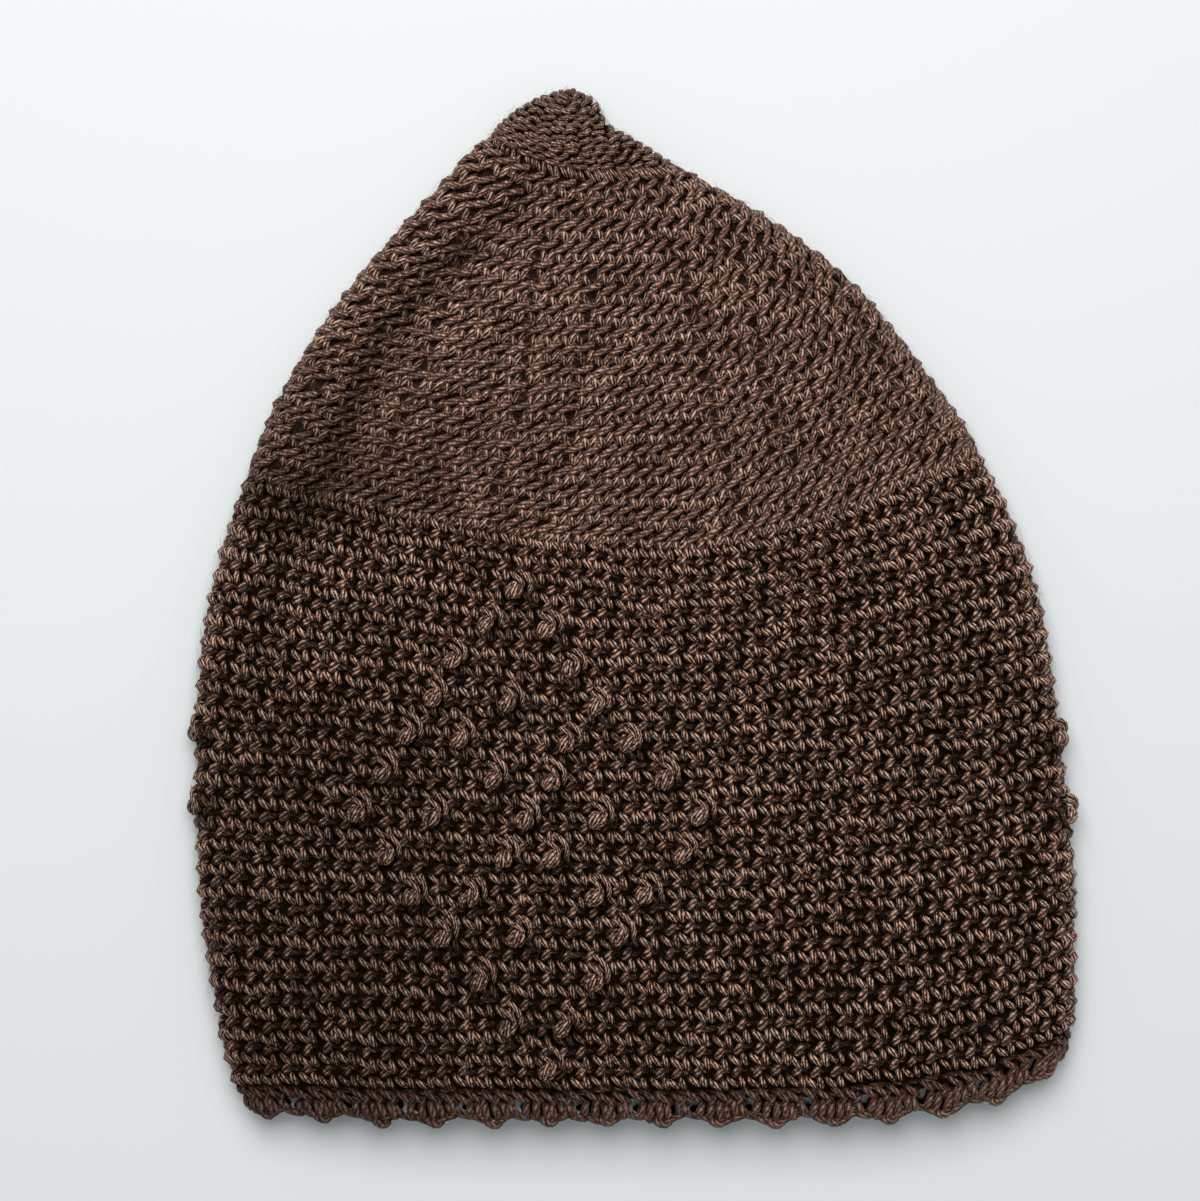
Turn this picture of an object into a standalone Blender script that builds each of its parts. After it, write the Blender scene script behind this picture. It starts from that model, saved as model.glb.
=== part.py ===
"""Crocheted prayer cap, lying flat, tip away from the viewer and rim towards the viewer.

Frame: X across the cap, +Y from the rim to the tip, +Z up, metres.  The cap rests on z = 0.

Three pieces make up the cap, each one closed body:
  crown          the upper rounds, closed at the small knobbed tip, open below
  side_wall      the plain rounds below the crown, with the bobbles standing on it
  picot_edging   the scalloped edge round the rim, with a small gap in every scallop

Every round of the cap is a flattened ring.  A ring has a left end, a lowest point and a right
end in plan; the front layer and the back layer follow the same plan line, the back layer lies
on the floor and the front layer stands over it by the loft.  The two layers meet at each end
in a round fold.
"""
import bisect
import math

import bmesh
import bpy
from mathutils import Vector

# ---------------------------------------------------------------- sizes, metres
LENGTH = 0.259          # tip to the lowest point of the edging
HALF_WIDTH = 0.1108     # half the width of the wall, lying flat
FABRIC = 0.0030         # thickness of the crocheted fabric
EDGING_FABRIC = 0.0026  # thickness of the edging
SEAM = 0.0004           # parting left between neighbouring pieces
LOFT = 0.0165           # greatest height of the front layer over the floor
FOLD = 0.0104           # height of the folds at the two sides
FILL_REACH = 0.060      # how far inside a fold the front layer reaches its full loft
INNER_TIP = 0.0035      # how far the hollow reaches past its last ring, towards the tip

BOBBLE_RADIUS = 0.0032  # half the width of a bobble
BOBBLE_RISE = 0.0024    # how far a bobble stands out of the fabric
STITCH = 0.0050         # width of one stitch

SCALLOPS = 15           # scallops along each layer of the edging
SCALLOP_DEPTH = 0.0030  # from the top of a notch to the foot of a scallop
GAP_LONG = 0.0030       # long way of the gap in a scallop
GAP_SHORT = 0.0017      # short way of the gap in a scallop

# ---------------------------------------------------------------- rings, tip to rim
# way: 0 tip, 1 meeting of crown and wall, 2 foot of the wall.  Across as a share of HALF_WIDTH,
# down as a share of LENGTH.  Loft as a share of LOFT, fold as a share of FOLD.  Bend: how late
# the ring turns up towards its end (2 an even sag, 4 flat with a sharp rise at the end).
RING_COLUMNS = ("way", "left_x", "left_y", "low_x", "low_y", "right_x", "right_y",
                "loft", "fold", "left_bend", "right_bend")
RINGS = (
    (0.000, -0.147, 0.000, -0.147, 0.000, -0.147, 0.000, 0.00, 0.00, 2.0, 2.0),
    (0.042, -0.190, 0.006, -0.142, 0.020, -0.104, 0.006, 0.44, 0.55, 2.0, 2.0),
    (0.083, -0.237, 0.015, -0.130, 0.037, -0.081, 0.017, 0.62, 0.66, 2.0, 2.0),
    (0.125, -0.282, 0.028, -0.115, 0.055, -0.072, 0.028, 0.74, 0.74, 2.0, 2.0),
    (0.167, -0.312, 0.040, -0.100, 0.071, -0.066, 0.033, 0.78, 0.78, 2.0, 2.0),
    (0.208, -0.328, 0.049, -0.086, 0.087, -0.029, 0.043, 0.74, 0.80, 2.2, 2.0),
    (0.250, -0.361, 0.059, -0.072, 0.103, 0.066, 0.069, 0.68, 0.82, 2.5, 2.0),
    (0.292, -0.400, 0.077, -0.054, 0.121, 0.138, 0.085, 0.70, 0.84, 3.0, 2.2),
    (0.375, -0.484, 0.117, 0.009, 0.162, 0.291, 0.126, 0.80, 0.88, 3.6, 2.4),
    (0.583, -0.650, 0.199, 0.020, 0.257, 0.496, 0.194, 0.93, 0.94, 4.0, 2.4),
    (0.792, -0.783, 0.286, 0.032, 0.349, 0.661, 0.281, 1.00, 1.00, 3.0, 1.8),
    (1.000, -0.874, 0.376, 0.145, 0.446, 0.774, 0.353, 1.00, 1.00, 2.0, 1.4),
    (1.214, -0.964, 0.501, 0.009, 0.544, 0.898, 0.472, 0.95, 1.00, 2.0, 1.6),
    (1.500, -0.993, 0.668, -0.172, 0.689, 0.964, 0.641, 0.88, 1.00, 2.0, 2.0),
    (1.750, -0.975, 0.819, -0.308, 0.824, 0.994, 0.778, 0.83, 0.98, 2.0, 2.0),
    (2.000, -0.905, 0.969, -0.353, 0.973, 0.990, 0.907, 0.80, 0.94, 2.0, 3.0),
    (2.080, -0.868, 0.996, -0.353, 1.002, 0.966, 0.934, 0.78, 0.92, 2.0, 3.0),
)

# ---------------------------------------------------------------- forms pressed into the front
# The roll along the left fold is set off by a crease inside the fold.  Inset as a share of
# CREASE_INSET, depth as a share of CREASE_DEPTH.
CREASE_INSET = 0.0170
CREASE_DEPTH = 0.0036
CREASE_WIDTH = 0.0052
CREASE_COLUMNS = ("way", "inset", "depth")
CREASE = (
    (0.20, 0.88, 0.00),
    (0.32, 0.88, 0.72),
    (0.58, 0.71, 1.00),
    (0.90, 1.00, 0.94),
    (1.15, 0.82, 0.67),
    (1.50, 0.71, 0.00),
)

# Soft swellings and one dent: across (share of HALF_WIDTH), down (share of LENGTH), rise (share
# of SWELL_RISE, minus for the dent) and reach (share of SWELL_REACH).
SWELL_RISE = 0.0022
SWELL_REACH = 0.022
SWELL_COLUMNS = ("across", "down", "rise", "reach")
SWELLS = (
    (-0.124, 0.160, 0.6, 0.73),
    (0.350, 0.320, 0.7, 1.00),
    (-0.370, 0.400, 0.6, 0.82),
    (-0.056, 0.470, -1.0, 0.50),
)

# ---------------------------------------------------------------- the diamond of bobbles
# One row of bobbles every second round.  Each row lists its bobbles in stitches left (minus) or
# right of the diamond's middle line, which leans a little from its top to its foot.
DIAMOND_TOP = (-0.262, 1.112)      # across share, way
DIAMOND_FOOT = (-0.192, 1.955)
DIAMOND = (
    (0.0,),
    (-1.6, 1.4),
    (-3.4, 2.5),
    (-4.5, -0.8, 3.6),
    (-5.9, -3.3, 2.0, 5.1),
    (-7.3, -1.8, 1.1, 6.8),
    (-8.7, -4.9, -0.3, 3.3, 8.4),
    (-7.4, -1.5, 0.9, 7.4),
    (-6.2, -3.3, 2.9, 5.4),
    (-4.8, -1.1, 4.0),
    (-3.1, 2.6),
    (-1.8, 0.9),
    (0.0,),
)
# Bobbles of the neighbouring diamonds that show on the folds: side (-1 left, 1 right), way.
FOLD_BOBBLES = ((-1, 1.425), (-1, 1.545), (1, 1.480), (1, 1.612))


# ---------------------------------------------------------------- the shape of a ring
def smooth_row(table, way):
    """Read a table at a way: a smooth curve through its rows, column by column."""
    ways = [row[0] for row in table]
    if way <= ways[0]:
        return table[0][1:]
    if way >= ways[-1]:
        return table[-1][1:]
    hi = bisect.bisect_right(ways, way)
    lo = hi - 1
    span = ways[hi] - ways[lo]
    t = (way - ways[lo]) / span
    values = []
    for column in range(1, len(table[0])):
        start, end = table[lo][column], table[hi][column]
        rise = (end - start) / span
        before = rise if lo == 0 else (start - table[lo - 1][column]) / (ways[lo] - ways[lo - 1])
        after = rise if hi == len(ways) - 1 else (table[hi + 1][column] - end) / (ways[hi + 1] - ways[hi])
        slope_in = 0.0 if before * rise <= 0 else 0.5 * (before + rise)
        slope_out = 0.0 if after * rise <= 0 else 0.5 * (after + rise)
        values.append(start * (1 + 2 * t) * (1 - t) ** 2 + end * t * t * (3 - 2 * t)
                      + span * slope_in * t * (1 - t) ** 2 - span * slope_out * t * t * (1 - t))
    return tuple(values)


class Ring:
    """One round of the cap, lying flat."""

    def __init__(self, way):
        self.way = way
        row = dict(zip(RING_COLUMNS[1:], smooth_row(RINGS, way)))
        self.left = (row["left_x"] * HALF_WIDTH, -row["left_y"] * LENGTH)
        self.low = (row["low_x"] * HALF_WIDTH, -row["low_y"] * LENGTH)
        self.right = (row["right_x"] * HALF_WIDTH, -row["right_y"] * LENGTH)
        self.fold = row["fold"] * FOLD
        self.loft = max(row["loft"] * LOFT, self.fold)
        self.left_bend = row["left_bend"]
        self.right_bend = row["right_bend"]
        self.width = self.right[0] - self.left[0]
        self.turn = min(self.fold / 2, 0.45 * self.width)

    def plan_y(self, x):
        """y of the ring at x: it rises from the lowest point to each end by a power of the way."""
        if x < self.low[0]:
            end, bend = self.left, self.left_bend
        else:
            end, bend = self.right, self.right_bend
        reach = abs(end[0] - self.low[0])
        share = 0.0 if reach < 1e-9 else min(abs(x - self.low[0]) / reach, 1.0)
        return self.low[1] + (end[1] - self.low[1]) * share ** bend

    def top(self, x):
        """Height of the front layer over the floor, folds left out."""
        from_left = max(x - self.left[0], 0.0)
        from_right = max(self.right[0] - x, 0.0)
        reach = min(FILL_REACH, 0.5 * self.width)
        near = min(from_left, from_right) / reach if reach > 1e-9 else 0.0
        filled = 1.0 - (1.0 - min(near, 1.0)) ** 2
        height = self.fold + (self.loft - self.fold) * filled
        inset, depth = smooth_row(CREASE, self.way)
        inset, depth = inset * CREASE_INSET, depth * CREASE_DEPTH
        height -= depth * math.exp(-((from_left - inset) / CREASE_WIDTH) ** 2)
        y = self.plan_y(x)
        for across, down, rise, wide in SWELLS:
            away = (x - across * HALF_WIDTH) ** 2 + (y + down * LENGTH) ** 2
            height += rise * SWELL_RISE * math.exp(-away / (wide * SWELL_REACH) ** 2)
        return height

    def point(self, kind, place):
        """A point of the outer face.

        kind "front" or "back": place is the share of the way from the left turn to the right one.
        kind "left" or "right": place is the angle round the fold, 90 on top and -90 underneath.
        """
        if kind in ("front", "back"):
            x = self.left[0] + self.turn + place * (self.width - 2 * self.turn)
            z = self.top(x) if kind == "front" else 0.0
            return Vector((x, self.plan_y(x), z))
        angle = math.radians(place)
        inward = self.turn * (1 - math.cos(angle))
        if kind == "left":
            x = self.left[0] + inward
            high = self.top(self.left[0] + self.turn)
        else:
            x = self.right[0] - inward
            high = self.top(self.right[0] - self.turn)
        middle = self.fold / 2
        if angle > 0:
            z = middle + (high - middle) * math.sin(angle)
        else:
            z = middle + middle * math.sin(angle)
        return Vector((x, self.plan_y(x), z))


def ways_for(length, way):
    """How many ways a length covers, measured down the middle of the front at this way."""
    return length * 0.04 / (Ring(way - 0.02).low[1] - Ring(way + 0.02).low[1])


def around(front_steps, back_steps, fold_steps):
    """Stations round a ring, from the left fold over the front and back along the floor."""
    stations = []
    for i in range(front_steps + 1):
        stations.append(("front", i / front_steps))
    for i in range(1, fold_steps):
        stations.append(("right", 90 - 180 * i / fold_steps))
    for i in range(back_steps + 1):
        stations.append(("back", 1 - i / back_steps))
    for i in range(1, fold_steps):
        stations.append(("left", -90 + 180 * i / fold_steps))
    return stations


def outer_ring(way, stations):
    """Points of the outer face at one way."""
    ring = Ring(way)
    return [ring.point(kind, place) for kind, place in stations]


def inner_ring(way, stations, thick):
    """Points of the inner face: the outer face moved inwards, square to itself, by the fabric."""
    step = 0.012
    here = outer_ring(way, stations)
    before = outer_ring(way - step, stations)
    after = outer_ring(way + step, stations)
    count = len(here)
    points = []
    for i in range(count):
        along = after[i] - before[i]
        across = here[(i + 1) % count] - here[(i - 1) % count]
        outward = along.cross(across)
        outward = outward.normalized() if outward.length > 1e-12 else Vector((0, 0, 1))
        kind = stations[i][0]
        if kind == "front" and outward.z < 0 or kind == "back" and outward.z > 0:
            outward = -outward
        points.append(here[i] - outward * thick)
    return points


# ---------------------------------------------------------------- meshes
def clear_scene():
    for item in list(bpy.data.objects):
        bpy.data.objects.remove(item, do_unlink=True)


def yarn_material(name, colour):
    material = bpy.data.materials.new(name)
    material.use_nodes = True
    shader = material.node_tree.nodes["Principled BSDF"]
    shader.inputs["Base Color"].default_value = (*colour, 1.0)
    shader.inputs["Roughness"].default_value = 0.75
    material.diffuse_color = (*colour, 1.0)
    return material


def add_object(name, points, faces, material=None):
    """Make one mesh object with its faces turned outwards."""
    mesh = bpy.data.meshes.new(name)
    mesh.from_pydata([tuple(p) for p in points], [], faces)
    work = bmesh.new()
    work.from_mesh(mesh)
    bmesh.ops.triangulate(work, faces=work.faces[:])
    bmesh.ops.recalc_face_normals(work, faces=work.faces[:])
    work.to_mesh(mesh)
    work.free()
    item = bpy.data.objects.new(name, mesh)
    bpy.context.collection.objects.link(item)
    if material is not None:
        mesh.materials.append(material)
    return item


def skin(rings, closed_start, closed_end, loop_back):
    """Join rings of equal count into one closed body.

    closed_start, closed_end: a pole point at that end, or None.  loop_back joins the last ring
    to the first one.
    """
    points = []
    starts = []
    for ring in rings:
        starts.append(len(points))
        points.extend(ring)
    count = len(rings[0])
    faces = []
    pairs = list(zip(starts, starts[1:]))
    if loop_back:
        pairs.append((starts[-1], starts[0]))
    for a, b in pairs:
        for i in range(count):
            j = (i + 1) % count
            faces.append((a + i, a + j, b + j, b + i))
    for pole, start in ((closed_start, starts[0]), (closed_end, starts[-1])):
        if pole is None:
            continue
        points.append(pole)
        for i in range(count):
            faces.append((len(points) - 1, start + i, start + (i + 1) % count))
    return points, faces


def build_crown(material):
    """Outer face from the tip to the meeting with the wall, then back up the inside."""
    stations = around(38, 16, 5)
    outer_ways = (0.012, 0.042, 0.083, 0.125, 0.167, 0.208, 0.250, 0.292, 0.340, 0.400, 0.470,
                  0.550, 0.630, 0.710, 0.790, 0.860, 0.930, 1.0 - ways_for(SEAM / 2, 1.0))
    inner_ways = (outer_ways[-1], 0.900, 0.790, 0.670, 0.550, 0.440, 0.360, 0.315)
    rings = [outer_ring(way, stations) for way in outer_ways]
    rings += [inner_ring(way, stations, FABRIC) for way in inner_ways]
    tip = Ring(0.0)
    pole = Vector((tip.left[0], tip.left[1], 0.5 * Ring(0.012).fold))
    last = rings[-1]
    middle = sum(last, Vector()) / len(last)
    inside = Vector((middle.x, middle.y + INNER_TIP, middle.z))
    return add_object("crown", *skin(rings, pole, inside, False), material)


def build_wall(material):
    """A tube of the plain rounds, open at both ends."""
    stations = around(40, 16, 5)
    first = 1.0 + ways_for(SEAM / 2, 1.0)
    last = 2.0 - ways_for(SEAM / 2, 2.0)
    outer_ways = [first + (last - first) * i / 12 for i in range(13)]
    inner_ways = [last - (last - first) * i / 6 for i in range(7)]
    rings = [outer_ring(way, stations) for way in outer_ways]
    rings += [inner_ring(way, stations, FABRIC) for way in inner_ways]
    return add_object("side_wall", *skin(rings, None, None, True), material)


def ball(centre, normal, radius, half_height, turns=9, rings=4):
    """Points and faces of one bobble: a low ball, its short way along the normal."""
    side = normal.cross(Vector((0, 1, 0)))
    side = side.normalized() if side.length > 1e-6 else Vector((1, 0, 0))
    other = normal.cross(side)
    points = [centre + normal * half_height]
    for r in range(1, rings):
        tilt = math.pi * r / rings
        for t in range(turns):
            turn = 2 * math.pi * t / turns
            flat = (side * math.cos(turn) + other * math.sin(turn)) * radius * math.sin(tilt)
            points.append(centre + flat + normal * half_height * math.cos(tilt))
    points.append(centre - normal * half_height)
    faces = []
    for t in range(turns):
        u = (t + 1) % turns
        faces.append((0, 1 + t, 1 + u))
        for r in range(rings - 2):
            a = 1 + r * turns
            b = a + turns
            faces.append((a + t, b + t, b + u, a + u))
        a = 1 + (rings - 2) * turns
        faces.append((a + t, len(points) - 1, a + u))
    return points, faces


def bobble_places():
    """Centre and outward direction of every bobble."""
    places = []
    rows = len(DIAMOND) - 1
    for number, offsets in enumerate(DIAMOND):
        share = number / rows
        middle = DIAMOND_TOP[0] + (DIAMOND_FOOT[0] - DIAMOND_TOP[0]) * share
        way = DIAMOND_TOP[1] + (DIAMOND_FOOT[1] - DIAMOND_TOP[1]) * share
        ring = Ring(way)
        for stitches in offsets:
            x = middle * HALF_WIDTH + stitches * STITCH
            beside = 0.4 * STITCH
            slope = (ring.top(x + beside) - ring.top(x - beside)) / (2 * beside)
            normal = Vector((-slope, 0, 1)).normalized()
            places.append((Vector((x, ring.plan_y(x), ring.top(x))), normal))
    for side, way in FOLD_BOBBLES:
        ring = Ring(way)
        end = ring.left if side < 0 else ring.right
        tilt = math.radians(25)
        normal = Vector((side * math.cos(tilt), 0, math.sin(tilt)))
        x = end[0] - side * 0.25 * BOBBLE_RISE
        places.append((Vector((x, ring.plan_y(x), ring.fold * 0.55)), normal))
    return places


def raise_bobbles(wall):
    """Add the bobbles to the wall so that wall and bobbles are one body."""
    points, faces = [], []
    for centre, normal in bobble_places():
        some, corners = ball(centre, normal, BOBBLE_RADIUS, BOBBLE_RISE)
        faces += [tuple(len(points) + c for c in face) for face in corners]
        points += some
    balls = add_object("bobble_forms", points, faces)
    balls.hide_render = True
    balls.display_type = "WIRE"
    union = wall.modifiers.new("bobbles", "BOOLEAN")
    union.operation = "UNION"
    union.solver = "EXACT"
    union.object = balls


def edging_way(place, kind):
    """Way of the foot of the edging: low in the middle of a scallop, high in the notches."""
    if kind in ("left", "right"):
        return 2.060
    swing = abs(math.sin(math.pi * SCALLOPS * place))
    return 2.060 - ways_for(SCALLOP_DEPTH, 2.05) * (1 - swing)


def build_edging(material):
    """The band of scallops below the wall."""
    stations = around(6 * SCALLOPS, 4 * SCALLOPS, 5)
    feet = [edging_way(place, kind) for kind, place in stations]
    top = 2.0 + ways_for(SEAM / 2, 2.0)
    rings = []
    for share, depth in ((0.0, 0.0), (0.45, 0.0), (1.0, 0.15), (1.0, 0.85), (0.45, 1.0),
                         (0.0, 1.0)):
        ring = []
        for i, station in enumerate(stations):
            way = top + (feet[i] - top) * share
            near = [stations[i - 1], station, stations[(i + 1) % len(stations)]]
            if depth == 0.0:
                ring.append(outer_ring(way, [station])[0])
            else:
                ring.append(inner_ring(way, near, depth * EDGING_FABRIC)[1])
        rings.append(ring)
    return add_object("picot_edging", *skin(rings, None, None, True), material)


def open_edging(edging):
    """Cut one small gap through every scallop of both layers."""
    ring = Ring(2.024)
    points, faces = [], []
    for number in range(SCALLOPS):
        place = (number + 0.5) / SCALLOPS
        x = ring.left[0] + ring.turn + place * (ring.width - 2 * ring.turn)
        y = ring.plan_y(x)
        beside = 0.4 * STITCH
        slope = (ring.plan_y(x + beside) - ring.plan_y(x - beside)) / (2 * beside)
        lean = math.atan(slope)
        start = len(points)
        for z in (-FOLD, 2 * LOFT):
            for t in range(8):
                turn = 2 * math.pi * (t + 0.5) / 8
                long = 0.5 * GAP_LONG * math.cos(turn)
                short = 0.5 * GAP_SHORT * math.sin(turn)
                points.append(Vector((x + long * math.cos(lean) - short * math.sin(lean),
                                      y + long * math.sin(lean) + short * math.cos(lean), z)))
        faces.append(tuple(start + t for t in range(8)))
        faces.append(tuple(start + 8 + t for t in range(8)))
        for t in range(8):
            u = (t + 1) % 8
            faces.append((start + t, start + u, start + 8 + u, start + 8 + t))
    gaps = add_object("edging_gap_cutters", points, faces)
    gaps.hide_render = True
    gaps.display_type = "WIRE"
    cut = edging.modifiers.new("gaps", "BOOLEAN")
    cut.operation = "DIFFERENCE"
    cut.solver = "EXACT"
    cut.object = gaps


def centre_on_floor(items):
    """Put the middle of the whole cap's plan at x = 0, y = 0."""
    bpy.context.view_layer.update()
    graph = bpy.context.evaluated_depsgraph_get()
    lows, highs = [math.inf] * 2, [-math.inf] * 2
    for item in items:
        mesh = item.evaluated_get(graph).to_mesh()
        for vertex in mesh.vertices:
            for axis in (0, 1):
                lows[axis] = min(lows[axis], vertex.co[axis])
                highs[axis] = max(highs[axis], vertex.co[axis])
    shift = Vector((-(lows[0] + highs[0]) / 2, -(lows[1] + highs[1]) / 2, 0))
    for item in bpy.data.objects:
        for vertex in item.data.vertices:
            vertex.co += shift


def main():
    clear_scene()
    crown = build_crown(yarn_material("crown_yarn", (0.078, 0.048, 0.035)))
    wall = build_wall(yarn_material("wall_yarn", (0.074, 0.045, 0.033)))
    edging = build_edging(yarn_material("edging_yarn", (0.070, 0.042, 0.031)))
    raise_bobbles(wall)
    open_edging(edging)
    centre_on_floor((crown, wall, edging))


main()
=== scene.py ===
"""The looks of the crocheted prayer cap: every stitch is laid as yarn on the shape of the cap.

The cap lies flat, tip away from the viewer.  A point of its surface is named by its way (0 at the
tip, 1 where crown and wall meet, 2 at the foot of the wall) and by its turn (0 at the left fold,
rising over the front to the right fold at about a half, and back along the floor to 1).
"""

import bpy
import numpy as np
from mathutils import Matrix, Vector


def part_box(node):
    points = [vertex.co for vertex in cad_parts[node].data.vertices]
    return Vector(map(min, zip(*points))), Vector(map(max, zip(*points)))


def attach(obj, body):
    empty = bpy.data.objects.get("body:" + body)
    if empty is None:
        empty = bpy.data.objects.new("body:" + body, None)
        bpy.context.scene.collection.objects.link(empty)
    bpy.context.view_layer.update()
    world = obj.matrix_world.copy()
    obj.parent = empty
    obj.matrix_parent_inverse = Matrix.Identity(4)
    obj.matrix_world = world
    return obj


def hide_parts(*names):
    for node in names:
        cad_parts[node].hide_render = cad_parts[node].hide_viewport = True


bl_info = {
    "name": "Crocheted prayer cap",
    "version": (1, 0, 0),
    "blender": (4, 5, 0),
    "location": "3D View > Sidebar > Prayer Cap",
    "description": "Lays the yarn of a crocheted prayer cap on its flat shape",
    "category": "Object",
}

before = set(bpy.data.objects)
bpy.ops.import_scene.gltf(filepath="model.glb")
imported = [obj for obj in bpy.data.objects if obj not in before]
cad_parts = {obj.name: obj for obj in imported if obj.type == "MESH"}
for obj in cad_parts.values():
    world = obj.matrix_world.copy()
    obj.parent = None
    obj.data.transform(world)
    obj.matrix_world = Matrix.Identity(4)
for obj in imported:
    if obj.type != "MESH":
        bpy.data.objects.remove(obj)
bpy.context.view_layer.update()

# Sizes of the lying cap, in metres
LENGTH = 0.259
HALF_WIDTH = 0.1108
LOFT = 0.0165
FOLD = 0.0104
FILL_REACH = 0.060
FABRIC = 0.0030
PIXEL = 0.00025         # one dot of the photograph's 1200 across, at this scale
PHOTO_DOTS = 1200
PHOTO_MIDDLE = (600, 600.5)
ORIGIN_DOT = (635, 84)  # dot of the photograph at the rings' own origin: mid width, level with the tip

CROWN_ROUNDS = 23
WALL_ROUNDS = 27
WALL_STITCHES = 90      # stitches in one round of the wall
WALL_STITCH_WIDTH = 0.005
CROWN_STITCH_WIDTH = 0.00415
TIP_STITCH_WIDTH = 0.0036
WALL_SHIFT, CROWN_SHIFT = -0.225, -0.18     # stitches by which each round starts after the one above

# One row a ring: its way, then x and y of its left end, its lowest point and its right end as shares
# of the half width and the length, the heights of front and fold as shares of LOFT and FOLD, and the
# powers by which its plan bends left and right of the lowest point.
RINGS = np.array((
    (0.000, -0.147, 0.000, -0.147, 0.000, -0.147, 0.000, 0.00, 0.00, 2.0, 2.0),
    (0.042, -0.190, 0.006, -0.142, 0.020, -0.097, 0.011, 0.44, 0.55, 2.0, 2.0),
    (0.083, -0.237, 0.015, -0.130, 0.037, -0.061, 0.036, 0.62, 0.66, 2.0, 2.0),
    (0.125, -0.282, 0.028, -0.115, 0.055, -0.007, 0.050, 0.74, 0.74, 2.0, 2.0),
    (0.167, -0.312, 0.040, -0.100, 0.071, 0.045, 0.064, 0.78, 0.78, 2.0, 2.0),
    (0.208, -0.328, 0.049, -0.086, 0.087, 0.099, 0.078, 0.74, 0.80, 2.2, 2.0),
    (0.250, -0.361, 0.059, -0.072, 0.103, 0.153, 0.092, 0.68, 0.82, 2.5, 2.0),
    (0.292, -0.400, 0.077, -0.054, 0.121, 0.208, 0.105, 0.70, 0.84, 3.0, 2.2),
    (0.375, -0.484, 0.117, 0.009, 0.162, 0.291, 0.126, 0.80, 0.88, 3.6, 2.4),
    (0.583, -0.650, 0.199, 0.020, 0.257, 0.496, 0.194, 0.93, 0.94, 4.0, 2.4),
    (0.792, -0.783, 0.286, 0.032, 0.349, 0.661, 0.281, 1.00, 1.00, 3.0, 1.8),
    (1.000, -0.874, 0.376, 0.145, 0.446, 0.774, 0.353, 1.00, 1.00, 1.8, 1.4),
    (1.214, -0.964, 0.501, 0.009, 0.544, 0.898, 0.472, 0.95, 1.00, 1.5, 1.6),
    (1.500, -0.993, 0.668, -0.172, 0.689, 0.964, 0.641, 0.88, 1.00, 1.7, 2.0),
    (1.750, -0.975, 0.819, -0.308, 0.824, 0.994, 0.778, 0.83, 0.98, 2.0, 2.4),
    (2.000, -0.905, 0.969, -0.353, 0.973, 0.990, 0.915, 0.80, 0.94, 2.0, 6.0),
    (2.080, -0.868, 0.996, -0.353, 1.002, 0.966, 0.945, 0.78, 0.92, 2.0, 8.0),
    (2.200, -0.805, 1.034, -0.353, 1.045, 0.930, 0.985, 0.76, 0.90, 2.0, 8.0),
))
CREASE_INSET = 0.0170
CREASE_DEPTH = 0.0036
CREASE_WIDTH = 0.0052

# The crease beside the crown's roll: way, then shares of its inset from the left end and its depth.
CREASE = np.array((
    (0.20, 0.88, 0.00), (0.32, 0.88, 0.72), (0.58, 0.71, 1.00),
    (0.90, 1.00, 0.94), (1.15, 0.82, 0.67), (1.50, 0.71, 0.00),
))
SWELL_RISE = 0.0022
SWELL_REACH = 0.022

# The broad swells: across and down as shares of the half width and the length, then rise and reach.
SWELLS = ((-0.124, 0.160, 0.6, 0.73), (0.350, 0.320, 0.7, 1.00),
          (-0.370, 0.400, 0.6, 0.82), (-0.056, 0.470, -1.0, 0.50))

# Rows of the diamond, one every second round: stitches left or right of its leaning middle line,
# whose top and foot are (share of the half width, way).
DIAMOND_TOP = (-0.262, 1.112)
DIAMOND_FOOT = (-0.192, 1.955)
DIAMOND = (
    (0.0,), (-1.6, 1.4), (-3.4, 2.5), (-4.5, -0.8, 3.6), (-5.9, -3.3, 2.0, 5.1),
    (-7.3, -1.8, 1.1, 6.8), (-8.7, -4.9, -0.3, 3.3, 8.4), (-7.4, -1.5, 0.9, 7.4),
    (-6.2, -3.3, 2.9, 5.4), (-4.8, -1.1, 4.0), (-3.1, 2.6), (-1.8, 0.9), (0.0,),
)

# Turns of the bobbles on the two folds, and each one's turn and way.
LEFT_TURN, RIGHT_TURN = 0.002, 0.496
FOLD_BOBBLES = ((LEFT_TURN, 1.425), (LEFT_TURN, 1.545), (RIGHT_TURN, 1.480), (RIGHT_TURN, 1.612))
SCALLOPS = 15           # on the front, and as many on the back

# The shape the yarn lies on


def cubic(x, y, slope, places):
    """Cubic curve through rows y at x with these slopes, read at places.

    With t the share of a span: y0 (1 + 2 t) (1 - t)^2 + y1 t^2 (3 - 2 t), plus the span times
    slope0 t (1 - t)^2 - slope1 t^2 (1 - t).
    """
    hi = np.clip(np.searchsorted(x, places, side="right"), 1, len(x) - 1)
    lo = hi - 1
    span = (x[hi] - x[lo])[:, None]
    t = ((places - x[lo]) / (x[hi] - x[lo]))[:, None]
    return (y[lo] * (1 + 2 * t) * (1 - t) ** 2 + y[hi] * t * t * (3 - 2 * t)
            + span * slope[lo] * t * (1 - t) ** 2 - span * slope[hi] * t * t * (1 - t))


def rows_at(table, ways):
    """Smooth curve through a table's rows: its slopes are the mean of the chords, 0 at a peak."""
    x = table[:, 0]
    y = table[:, 1:]
    chord = np.diff(y, axis=0) / np.diff(x)[:, None]
    before = np.vstack([chord[:1], chord])
    after = np.vstack([chord, chord[-1:]])
    slope = np.where(before * after <= 0, 0.0, 0.5 * (before + after))
    return cubic(x, y, slope, np.clip(ways, x[0], x[-1]))


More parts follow.
